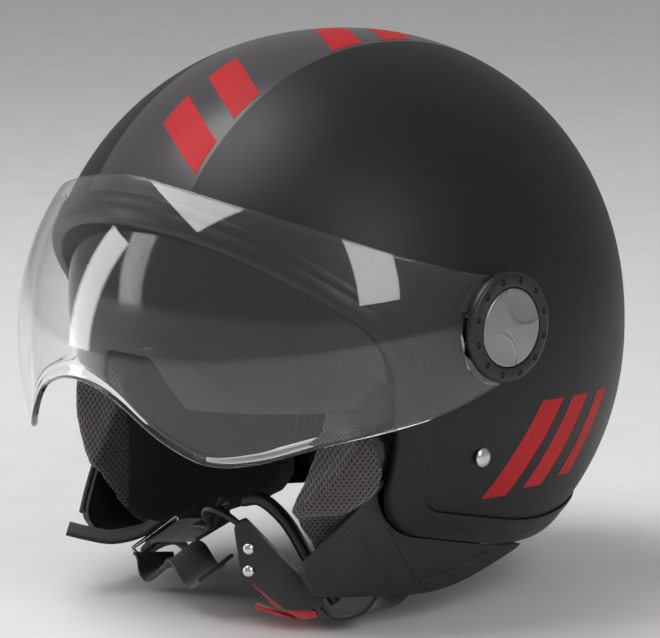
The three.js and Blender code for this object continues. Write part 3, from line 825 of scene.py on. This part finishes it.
def on_cover(points, lift, n=40):
    """A line over the cover's outer face through side-view points (y, z)."""
    yz = resample(points, n)
    return np.column_stack([wall_x(yz[:, 0], yz[:, 1], lift, SKIRT), yz])


def add_tubes(base, lines):
    """Cords and raised seams as pieces of their own, each given with its radius and material."""
    for name, points, lift, radius, mat in lines:
        cord = tube(f"{base}_{name}_left", on_cover(points, lift), radius, 12, 90)
        twin = mirrored(cord, f"{base}_{name}_right")
        finish_piece(cord, mat, "helmet", ())
        finish_piece(twin, mat, "helmet", ())


add_tubes("cover", [
    ("piping", [(-61.5, -50.5), (-78, -69.6), (-93, -87)], -0.6, 1.5, "piping"),
    ("seam_front", [(-56, -73), (-45, -87), (-35.5, -98.5)], -0.35, 0.9, "leather"),
    ("seam_low", [(-32, -101.5), (-12, -98.5), (6, -93.5)], -0.35, 1.0, "leather"),
    ("seam_mid", [(-68.5, -78), (-59, -87.5), (-49.5, -97)], -0.35, 0.7, "leather"),
])
cover_right = mirrored(cover, "cover_right")
finish_piece(cover, "leather", "helmet", ["lower_cover_left"])
finish_piece(cover_right, "leather", "helmet", ["lower_cover_right"])

ROLL = [(50, -82.5, 3), (50, -52, 6), (150, -52, 0), (150, -82.5, 0)]
roll = prism("neck_roll_form", fillet(ROLL), -70, 70)
common(roll, dome("roll_out", -WALL - 4.5, across=120, down=80))
minus(roll, dome("roll_in", -LINER_IN + 1.5, across=120, down=80))
inflate(roll, 4.0, 4.0, 2.5)
finish_piece(roll, "leather", "helmet", ["neck_roll"])


# ------------------------------------------------------------------ visors
def ear_radius(d):
    """The visor's radius about the pivot in direction d, where it crosses the middle plane."""
    v = PIVOT - BUBBLE
    along = d @ v
    arc = -along + np.sqrt(along**2 - v @ v + BUBBLE_R**2)
    return np.maximum(arc, VISOR_EAR_R)


def visor_edge(points, samples=600):
    """(share of the radius, angle) along one edge of the visor, as arrays that rise with the share."""
    curve = catmull(np.array(points, float), samples)
    d = curve - PIVOT
    ring = np.linalg.norm(d, axis=1)
    share = ring / ear_radius(d / ring[:, None])
    angle = np.unwrap(np.arctan2(d[:, 1], d[:, 0]))
    order = np.argsort(share)
    return share[order], angle[order]


def visor_point(share, angle, inset):
    d = np.stack([np.cos(angle), np.sin(angle)], -1)
    r = ear_radius(d) - inset
    x = (VISOR_SIDE - inset) * np.maximum(1 - share**VISOR_POWER, 0) ** (1 / VISOR_POWER)
    yz = PIVOT + d * (r * share)[..., None]
    return np.concatenate([x[..., None], yz], -1)


def both_halves(left):
    """The left half of a grid of points, and its mirror image after the middle row."""
    return np.concatenate([left, left[:-1][::-1] * np.array([-1, 1, 1])], 0)


def rim(outer, inner, edge, next_in, shoulder, crest):
    """Three rows of points that round a visor edge off, from the outer skin to the inner one."""
    half = VISOR_WALL / 2
    mid = (outer + inner) / 2
    out = mid[:, edge] - mid[:, next_in]
    out /= np.linalg.norm(out, axis=1)[:, None]
    first = outer[:, edge] * 0.86 + inner[:, edge] * 0.14 + out * half * shoulder
    top = mid[:, edge] + out * half * crest
    last = outer[:, edge] * 0.14 + inner[:, edge] * 0.86 + out * half * shoulder
    return np.stack([first, top, last], 1)


def visor_mesh(name, top, bottom, body_rows=110, cols=56):
    """A bubble visor between its two edge curves, with a rounded rim all round and a lip along the bottom."""
    ts, ta = visor_edge(top)
    bs, ba = visor_edge(bottom)
    ta = np.where(ta < 0, ta + 2 * math.pi, ta)
    ba = np.where(ba < 0, ba + 2 * math.pi, ba)
    start = VISOR_EAR_START / VISOR_EAR_R
    theta0 = math.asin(start ** (VISOR_POWER / 2))
    theta = np.linspace(theta0, math.pi / 2, body_rows)
    share = np.sin(theta) ** (2 / VISOR_POWER)
    a_top, a_bot = np.interp(share, ts, ta), np.interp(share, bs, ba)
    edge = 1 - np.cos(np.linspace(0, math.pi / 2, 7))
    t = np.concatenate([edge * 0.04, np.linspace(0.04, 0.97, cols)[1:-1], 1 - edge[::-1] * 0.03])
    A = a_bot[:, None] + (a_top - a_bot)[:, None] * t[None, :]
    S = np.repeat(share[:, None], len(t), 1)
    reach = t[None, :] * np.abs(a_top - a_bot)[:, None] * (S * 125)
    lip = 1.1 * np.exp(-((reach / 3.0) ** 4)) * np.clip((S - 0.3) / 0.2, 0, 1)
    outer = visor_point(S, A, -lip)
    inner = visor_point(S, A, VISOR_WALL)
    outer, inner = both_halves(outer), both_halves(inner)
    high = rim(outer, inner, -1, -2, 0.45, 0.7)
    low = rim(outer, inner, 0, 1, 0.6, 1.0)
    loop = np.concatenate([outer, high, inner[:, ::-1], low[:, ::-1]], 1)
    rows = len(loop)
    k = loop.shape[1]
    verts = loop.reshape(-1, 3)
    faces = grid_faces(rows, k, False, True)
    faces.append(tuple(range(k)))
    faces.append(tuple((rows - 1) * k + j for j in range(k)))
    ob = raw_object(name, verts, faces, 60)
    fix_normals(ob)
    return ob


def on_ear(degrees, radius=23.3):
    """A side-view point on the visor's ear, by its direction from the pivot."""
    a = math.radians(degrees)
    return (PIVOT[0] + radius * math.cos(a), PIVOT[1] + radius * math.sin(a))


VISOR_TOP = [on_ear(100), (-38, 41.5), (-67, 50.4), (-96, 62.7), (-113, 71), (-123, 78), (-128, 86)]
VISOR_LOW = [
    on_ear(-78), (-32, -12), (-57, -19.6), (-97, -28), (-120, -36.5), (-133, -38), (-143, -31),
    (-150, -21.5), (-156, -9), (-160, 0),
]
visor = visor_mesh("clear_visor", VISOR_TOP, VISOR_LOW)
finish_piece(visor, "clear", "visor", ["outer_visor"])

sun = sun_ball("sun_lens", 0, SUN_SIDE, SUN_R, 200, 130)
minus(sun, sun_ball("sun_lens_in", -SUN_WALL, SUN_SIDE, SUN_R, 200, 130))
sun_shape = prism("sun_shape", fillet(SUN_OUTLINE, 0, 16), -FAR, FAR)
common(sun, sun_shape)
nose = fillet([(-40, -40, 0), (-15, 2, 8), (15, 2, 8), (40, -40, 0)], 0, 16)
nose_cut = prism("nose_cut", nose, 60, FAR)
nose_cut.data.transform(Matrix.Rotation(math.radians(-90), 4, "Z"))
minus(sun, nose_cut)
rounded(sun, 0.5, 2)
finish_piece(sun, "smoke", "inner_sun_visor", ["sun_visor"])

# ------------------------------------------------------------------ pivots
# cutting profiles as [radius, x]: the ring's dimples and the cap's two round recesses
DIMPLE = [(0, 129.1), (0.6, 129.2), (1.2, 129.8), (1.45, 130.5), (1.45, 131), (0, 131)]
RECESS = [(0, 129.75), (11.2, 129.8), (12.0, 130.0), (12.4, 130.4), (12.6, 131.5), (0, 131.5)]
for side, word in ((1, "left"), (-1, "right")):
    ring = lathe(
        f"pivot_ring_{word}_fine",
        [
            (CAP_R + 0.35, 127.9), (RING_R - 2, 127.9), (RING_R - 1.6, 126.7), (RING_R, 126.7),
            (RING_R + 0.1, 128.4), (RING_R - 0.15, 129.1), (RING_R - 0.7, 129.8),
            (RING_R - 1.5, 130.25), (RING_R - 2.4, 130.4), (CAP_R + 1.4, 130.4),
            (CAP_R + 0.8, 130.2), (CAP_R + 0.45, 129.7), (CAP_R + 0.35, 129.0),
        ],
        PIVOT[0], PIVOT[1], 144, side,
    )
    for k in range(12):
        a = math.radians(30 * k + 15)
        y, z = PIVOT[0] + 20.9 * math.cos(a), PIVOT[1] + 20.9 * math.sin(a)
        minus(ring, lathe("dimple", DIMPLE, y, z, 24, side))
    finish_piece(ring, "satin", "helmet", [f"pivot_ring_{word}"])
    cap = lathe(
        f"pivot_cap_{word}_fine",
        [
            (0, 128.3), (CAP_R, 128.3), (CAP_R, 130.0), (CAP_R - 0.25, 130.5), (CAP_R - 0.8, 130.82),
            (CAP_R - 1.6, 130.9), (0, 130.9),
        ],
        PIVOT[0], PIVOT[1], 144, side,
    )
    for sign in (1, -1):
        y, z = PIVOT[0] + 9.3 * sign, PIVOT[1] + 13.3 * sign
        minus(cap, lathe("recess", RECESS, y, z, 96, side))
    rounded(cap, 0.18, 2, 40)
    finish_piece(cap, "gunmetal", "helmet", [f"pivot_cap_{word}"])
    rivet = lathe(
        f"strap_rivet_{word}_fine",
        [
            (0, 104.6), (3.4, 104.7), (3.6, 105.4), (2.3, 105.6), (2.3, 117.4), (4.3, 117.4),
            (4.25, 117.9), (3.7, 118.5), (2.6, 119.0), (1.3, 119.25), (0, 119.3),
        ],
        RIVET[0], RIVET[1], 48, side,
    )
    finish_piece(rivet, "steel", "helmet", [f"strap_rivet_{word}"])

# ------------------------------------------------------------------ buckle
BUCKLE_AT = np.array([45.2, -80.3, -95.5])
ALONG = np.array([0.567, 0.436, -0.7])
ALONG /= np.linalg.norm(ALONG)
ACROSS = np.array([0.7213, -0.6727, 0.165])
ACROSS /= np.linalg.norm(ACROSS)
OUTWARD = np.cross(ALONG, ACROSS)
OUTWARD /= np.linalg.norm(OUTWARD)


def in_buckle(x, y, z):
    return BUCKLE_AT + x * ALONG + y * ACROSS + z * OUTWARD


def place(ob):
    m = Matrix.Identity(4)
    for k in range(3):
        m[k][0], m[k][1], m[k][2] = ALONG[k], ACROSS[k], OUTWARD[k]
        m[k][3] = BUCKLE_AT[k] * MM
    ob.data.transform(m)
    return ob


def plate(name, corners, y0, y1, divisions=8):
    """A plate in the buckle's side view (x, z), between y0 and y1, in the buckle's frame."""
    pts = fillet(corners, 0, divisions)
    n = len(pts)
    low = np.column_stack([pts[:, 0], np.full(n, y0), pts[:, 1]])
    high = np.column_stack([pts[:, 0], np.full(n, y1), pts[:, 1]])
    faces = [tuple(range(n)), tuple(range(2 * n - 1, n - 1, -1))]
    faces += [(i, n + i, n + (i + 1) % n, (i + 1) % n) for i in range(n)]
    return raw_object(name, np.vstack([low, high]), faces)


def pin(name, x, z, profile, segments=32):
    t = np.linspace(0, 2 * math.pi, segments, endpoint=False)
    rings = [(r, y) for r, y in profile if r > 1e-6]
    turns = [(x + r * np.cos(t), np.full(segments, y), z + r * np.sin(t)) for r, y in rings]
    pts = np.vstack([np.column_stack(turn) for turn in turns])
    k = len(pts)
    pts = np.vstack([pts, [[x, profile[0][1], z], [x, profile[-1][1], z]]])
    faces = grid_faces(len(rings), segments, False, True)
    last = (len(rings) - 1) * segments
    for j in range(segments):
        faces.append((k, (j + 1) % segments, j))
        faces.append((k + 1, last + j, last + (j + 1) % segments))
    ob = raw_object(name, pts, faces)
    fix_normals(ob)
    return ob


PLATE = [(-26, -6, 2), (24, -6, 2), (25, -2, 2), (15, 9, 5), (-10, 12, 4), (-28, -1, 3)]
LEVER_PIN, PAWL_PIN = (-8.9, 8.3), (-15.8, 1.4)
frame_body = plate("buckle_side_near", PLATE, 11.5, 13)
combine(frame_body, plate("buckle_side_far", PLATE, -13, -11.5), "UNION")
BUCKLE_FLOOR = [(-26, -6, 0), (23, -6, 0), (23, -4.5, 0), (-26, -4.5, 0)]
combine(frame_body, plate("buckle_floor", BUCKLE_FLOOR, -12, 12), "UNION")
rounded(frame_body, 0.4, 3)
finish_piece(place(frame_body), "plastic", "helmet", ["buckle_body"])
PIN_END = [(1.5, 13.2), (2.8, 13.2), (2.75, 13.7), (2.2, 14.4), (1.2, 14.9), (0, 15.0)]
PIN = [(r, -y) for r, y in PIN_END[::-1]] + PIN_END
for name, (x, z) in (("buckle_lever_pin", LEVER_PIN), ("buckle_pawl_pin", PAWL_PIN)):
    finish_piece(place(pin(name + "_fine", x, z, PIN)), "steel", "helmet", [name])
LEVER = [
    (-12, 5, 2), (-6, 5, 2), (-5, 8.6, 0), (10, 8.2, 2), (19, 3, 1), (24.5, 0.3, 0), (27, 1.2, 0),
    (23, 7, 2), (10, 11.4, 4), (-12, 12, 3),
]
lever = plate("lever", LEVER, -10.8, 10.8)
minus(lever, pin("lever_hole", *LEVER_PIN, [(0, -20), (1.7, -20), (1.7, 20), (0, 20)]))
rounded(lever, 0.7, 3)
finish_piece(place(lever), "red", "release_lever", ["buckle_lever"])
tab = plate("pull_tab", [(4, 17, 0.6), (4.8, 18.8, 0.6), (20.6, 10.4, 0), (20, 9, 0)], -7, 7)
rounded(tab, 0.5, 3)
finish_piece(place(tab), "red", "release_lever", ["lever_pull_tab"])
PAWL = [
    (-18.6, -0.6, 1), (-12, -0.6, 1), (-4, 1.2, 1), (0, -0.9, 0), (3, -0.9, 0), (3.4, 3.4, 0.8),
    (-10.5, 2.9, 0), (-12.4, 3.9, 0), (-18.6, 3.9, 1),
]
pawl = plate("pawl", PAWL, -6.5, 6.5)
minus(pawl, pin("pawl_hole", *PAWL_PIN, [(0, -20), (1.7, -20), (1.7, 20), (0, 20)]))
rounded(pawl, 0.3, 2)
finish_piece(place(pawl), "steel", "locking_pawl", ["buckle_pawl"])

# ------------------------------------------------------------------ straps
TONGUE = [(-6, -79, -81.6), (10, -84.6, -78)]
TONGUE += [in_buckle(-38, -3, 0.5), in_buckle(-26, 0, -2.3), in_buckle(-6, 0, -2.5), in_buckle(14, 0, -2.5)]
TONGUE_SIDES = [(0.3, -0.93, -0.22), (0.4, -0.88, -0.1), (0.6, -0.78, 0.1), ACROSS, ACROSS, ACROSS]
tongue = ribbon("tongue", TONGUE, TONGUE_SIDES, band_profile(14, 2.1), 160)
finish_piece(tongue, "plastic", "helmet", ["ratchet_tongue"])


def wall_side(y, z):
    return ((wall_x(np.float64(y - 5), z, -6) - wall_x(np.float64(y + 5), z, -6)) / 10, -1, 0)


BEHIND = [(-24, -33), (-24, -42), (-24.5, -51), (-26, -61), (-28, -70), (-30, -80)]
DEPTH = [-6.6, -6.6, -6.8, -7.6, -8.8, -10.3]
top_path = [(float(wall_x(np.float64(y), np.float64(z), d)), y, z) for (y, z), d in zip(BEHIND, DEPTH)]
top_sides = [wall_side(y, z) for y, z in BEHIND]
top_path += [(81, -31.5, -90), (76.6, -35, -99.5)]
top_sides += [(-0.15, -1, 0), (-0.2, -1, 0)]


def flip(p):
    return (-p[0], p[1], p[2])


LEFT = top_path + [(74.6, -42, -108.5), (70, -53, -115)]
LEFT += [in_buckle(33, 0, -3.6), in_buckle(26, 0, -2.6), in_buckle(17, 0, -2.5)]
LEFT_SIDES = top_sides + [(0.1, -0.98, 0.1), (0.6, -0.78, 0.15), ACROSS, ACROSS, ACROSS]
RS = (0.3, -0.93, -0.22)
RIGHT = [flip(p) for p in top_path] + [(-74, -43, -108), (-66, -54, -107.5), (-57, -63, -100.5)]
RIGHT += [(-42, -69, -94), (-20, -75.5, -89), (8, -84.8, -82.4)]
RIGHT_SIDES = [flip(p) for p in top_sides]
RIGHT_SIDES += [(0, -1, -0.1), (0.1, -0.97, -0.15), (0.2, -0.95, -0.2), RS, RS, RS]
SLACK = [(-55, -68, -107), (-45, -71.5, -112.5), (-30, -75.5, -103.5)]
SLACK += [(-17, -80, -99), (3, -87, -104), (19, -93.5, -97)]
TAIL_SIDE = (0.73, -0.68, -0.1)
TAIL = [(-52.5, -69, -91.8), (-55.5, -78, -95.4), (-59, -90, -96.5), (-65, -99.5, -94.2), (-71, -106, -92)]
for name, node, path, sides, width, steps in (
    ("web_left", "strap_left", LEFT, LEFT_SIDES, STRAP_WIDTH, 260),
    ("web_right", "strap_right", RIGHT, RIGHT_SIDES, STRAP_WIDTH, 280),
    ("web_slack", "strap_slack", SLACK, [RS] * 6, STRAP_WIDTH, 160),
    ("web_tail", "strap_tail", TAIL, [RS, TAIL_SIDE, TAIL_SIDE, TAIL_SIDE], 17, 90),
):
    web = ribbon(name, path, sides, band_profile(width, STRAP_THICK), steps)
    finish_piece(web, "webbing", "helmet", [node])

slide_along = np.array([0.764, -0.478, 0.43])
slide_along /= np.linalg.norm(slide_along)
slide_across = np.array([-0.2, 0.95, 0.2])
slide_across -= (slide_across @ slide_along) * slide_along
slide_across /= np.linalg.norm(slide_across)
slide_up = np.cross(slide_along, slide_across)
slide_at = np.array([-57, -63.2, -100.4])
SLIDER = [
    (-12.7, -2.2), (-8, -2.5), (0, -2.5), (8, -2.5), (12.7, -2.2), (12.9, 0.4), (12.7, 2.8),
    (8, 2.9), (0, 2.9), (-8, 2.9), (-12.7, 2.8), (-12.9, 0.4), (-12.7, -2.2),
]
loop = [slide_at + y * slide_across + z * slide_up for y, z in SLIDER]
slider = tube("slider_wire", loop, 0.9, 12, 160)
finish_piece(slider, "steel", "helmet", ["strap_slider"])

# the chin pad: a soft band under the buckle
CHIN = [in_buckle(-33, -2, -11), in_buckle(-27, -2, -17), in_buckle(-13, -2, -18)]
CHIN += [in_buckle(4, -2, -14), in_buckle(18, -4, -10.5), in_buckle(27, -5, -9)]
chin_profile = []
for k in range(40):
    a = 2 * math.pi * k / 40
    c, s = math.cos(a), math.sin(a)
    chin_profile.append((13.6 * math.copysign(abs(c) ** 0.5, c), 2.9 * math.copysign(abs(s) ** 0.7, s)))
chin = ribbon("chin_cushion", CHIN, [ACROSS, ACROSS], chin_profile, 120)
finish_piece(chin, "leather", "helmet", ["chin_pad"])


# ------------------------------------------------------------------ printed shapes
def patch(corners, cells):
    """A grid of points between four corners in the plane."""
    (a, b, c, d) = [np.array(p, float) for p in corners]
    u, v = np.meshgrid(np.linspace(0, 1, cells[0]), np.linspace(0, 1, cells[1]), indexing="ij")
    u, v = u[..., None], v[..., None]
    return (1 - u) * ((1 - v) * a + v * d) + u * ((1 - v) * b + v * c)


def bar_decal(name, corners, lift=0.12, cells=(40, 12)):
    """A printed shape on the left of the shell: four corners in side view (y, z)."""
    yz = patch(corners, cells)
    top = np.concatenate([wall_x(yz[..., 0], yz[..., 1], lift)[..., None], yz], -1).reshape(-1, 3)
    low = np.concatenate([wall_x(yz[..., 0], yz[..., 1], lift - 0.1)[..., None], yz], -1).reshape(-1, 3)
    return sheet_piece(name, top, low, cells)


def sheet_piece(name, top, low, cells):
    n = len(top)
    faces = grid_faces(*cells)
    faces += [tuple(n + i for i in f[::-1]) for f in grid_faces(*cells)]
    rows, cols = cells
    around = [i * cols for i in range(rows)]
    around += [(rows - 1) * cols + j for j in range(1, cols)]
    around += [i * cols + cols - 1 for i in range(rows - 2, -1, -1)]
    around += list(range(cols - 2, 0, -1))
    faces += [(a, n + a, n + b, b) for a, b in zip(around, around[1:] + around[:1])]
    ob = raw_object(name, np.vstack([top, low]), faces)
    fix_normals(ob)
    return finish_piece(ob, "red_print", "helmet", ())


for k, (y0, y1) in enumerate(((-17.0, 9.0), (8.0, 31.0), (33.0, 53.0))):
    wide = (15.0, 13.0, 10.0)[k]
    low, high = -62.5 + 1.5 * k, -20.0 - k
    corners = [(y0, low), (y1, high), (y1 + wide, high - 0.5), (y0 + wide, low - 0.5)]
    bar_decal(f"side_bar_left_{k + 1}", corners)


def band_decal(name, corners, lift=0.12, cells=(30, 14)):
    """A printed shape on the band over the top: four corners as (x, degrees up from the front)."""
    q = patch(corners, cells)
    x, t = q[..., 0], np.radians(q[..., 1])

    def skin(off):
        share = 1 - np.abs(x / (SHELL["side"] + off)) ** POWER
        run = np.where(np.cos(t) > 0, SHELL["front"], SHELL["rear"]) + off
        reach = np.abs(np.cos(t) / run) ** POWER + np.abs(np.sin(t) / (SHELL["up"] + off)) ** POWER
        ring = (share / reach) ** (1 / POWER)
        return np.stack([x, -ring * np.cos(t), ring * np.sin(t)], -1).reshape(-1, 3)

    return sheet_piece(name, skin(lift), skin(lift - 0.1), cells)


for k, start in enumerate((36.0, 49.0, 76.0, 89.0)):
    band_decal(f"band_bar_{k + 1}", [(30, start), (30, start + 7.5), (-6, start + 16.5), (-6, start + 9)])

# ------------------------------------------------------------------ the CAD pieces that stay
KEEP = {
    "visor_base_plate": "plastic",
    "visor_friction_washer": "steel",
    "pivot_screw": "steel",
    "pivot_insert": "steel",
    "sun_visor_clip": "steel",
    "strap_rivet_washer": "steel",
}
for stem, mat in KEEP.items():
    for word in ("left", "right"):
        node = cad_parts[f"{stem}_{word}"]
        node.data.materials.clear()
        node.data.materials.append(MAT[mat])

# ------------------------------------------------------------------ floor, lights and camera
scene = bpy.context.scene
floor_mesh = bpy.data.meshes.new("floor")
FLOOR_Z = -0.121
floor_corners = [(-4, -4, FLOOR_Z), (4, -4, FLOOR_Z), (4, 4, FLOOR_Z), (-4, 4, FLOOR_Z)]
floor_mesh.from_pydata(floor_corners, [], [(0, 1, 2, 3)])
floor = bpy.data.objects.new("floor", floor_mesh)
scene.collection.objects.link(floor)
floor.data.materials.append(material("pale_floor", plain(grey(0.86), grey(0.9), (0.6, 0.7), grain=200.0)))
floor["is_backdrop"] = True

world = bpy.data.worlds.new("studio")
scene.world = world
world.use_nodes = True
world.node_tree.nodes["Background"].inputs["Color"].default_value = (1.0, 1.0, 1.0, 1)
world.node_tree.nodes["Background"].inputs["Strength"].default_value = 0.32


def area(name, at, size, power, look=(0, 0, 0)):
    light = bpy.data.lights.new(name, "AREA")
    light.shape = "RECTANGLE"
    light.size, light.size_y = size
    light.energy = power
    ob = bpy.data.objects.new(name, light)
    scene.collection.objects.link(ob)
    ob.location = at
    ob.rotation_euler = (Vector(look) - Vector(at)).to_track_quat("-Z", "Y").to_euler()
    return ob


area("overhead", (-0.5, -0.7, 1.9), (1.5, 1.1), 26)
area("left", (-1.5, -1.5, 0.55), (0.55, 1.5), 13)
area("right", (1.9, -0.4, 1.2), (0.6, 1.4), 12)

camera = bpy.data.cameras.new("camera")
camera.lens = 190.4
camera.sensor_width = 36
camera.shift_x = -0.01515
camera.shift_y = 0.0091
eye = bpy.data.objects.new("camera", camera)
scene.collection.objects.link(eye)
az, el = math.radians(47), math.radians(9.5)
back = Vector((math.sin(az) * math.cos(el), -math.cos(az) * math.cos(el), math.sin(el)))
eye.location = back * 1.62
eye.rotation_euler = back.to_track_quat("Z", "Y").to_euler()
scene.camera = eye
scene.view_settings.view_transform = "Standard"

low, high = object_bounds()
